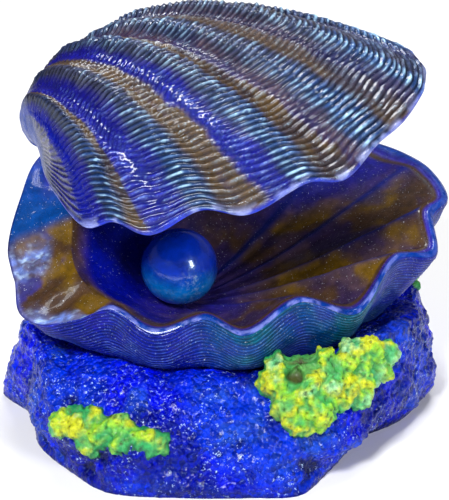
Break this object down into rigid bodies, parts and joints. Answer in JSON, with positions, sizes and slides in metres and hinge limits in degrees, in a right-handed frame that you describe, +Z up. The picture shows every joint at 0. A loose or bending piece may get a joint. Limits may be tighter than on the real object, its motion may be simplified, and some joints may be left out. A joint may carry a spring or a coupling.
{
  "type": "bubbling clam aquarium ornament",
  "caption": "Aquarium ornament: an open giant clam with a pearl on a hollow rock, with encrusting coral, a hinged upper valve and an air stone fed from a rear barb.",
  "frame": {"origin": "middle of the outline seen from above, on the plane the rock stands on", "axes": "+Z up, -Y towards the viewer of the open mouth, +X to that viewer's right"},
  "size_m": [0.151, 0.1404, 0.1275],
  "materials": {
    "rock_cast": "coarse glittering grain, ultramarine blue",
    "shell_cast": "glossy ochre brown with blue and steel-cyan growth ridges",
    "coral_cast": "rough yellow with green edges",
    "pearl": "glossy blue",
    "hinge_plastic": "moulded black",
    "steel": "turned stainless steel",
    "clear_plastic": "milky translucent plastic",
    "seal_rubber": "black rubber",
    "air_stone": "porous sintered grain"
  },
  "bodies": {
    "ornament": {"rock_base": "rock_cast", "lower_valve": "shell_cast", "pearl": "pearl", "pearl_peg": "steel", "coral_left": "coral_cast", "coral_right": "coral_cast", "coral_rear": "coral_cast", "hinge_base": "hinge_plastic", "hinge_pin": "steel", "pin_clip": "steel", "hinge_washer_left": "clear_plastic", "hinge_washer_right": "clear_plastic", "hinge_screw_left": "steel", "hinge_screw_right": "steel", "inlet_fitting": "clear_plastic", "inlet_seal": "seal_rubber", "inlet_nut": "clear_plastic", "air_hose": "clear_plastic", "hose_saddle": "hinge_plastic", "stone_stem": "clear_plastic", "air_stone": "air_stone", "stone_sleeve": "seal_rubber"},
    "upper_valve_assembly": {"upper_valve": "shell_cast", "hinge_arm": "hinge_plastic"}
  },
  "joints": [
    {"name": "upper_valve_hinge", "type": "hinge", "parent": "ornament", "child": "upper_valve_assembly", "pos_m": [-0.02544, 0.02399, 0.08041], "axis": [-0.7841, -0.6126, -0.0995], "range_deg": [-24, 4]}
  ]
}
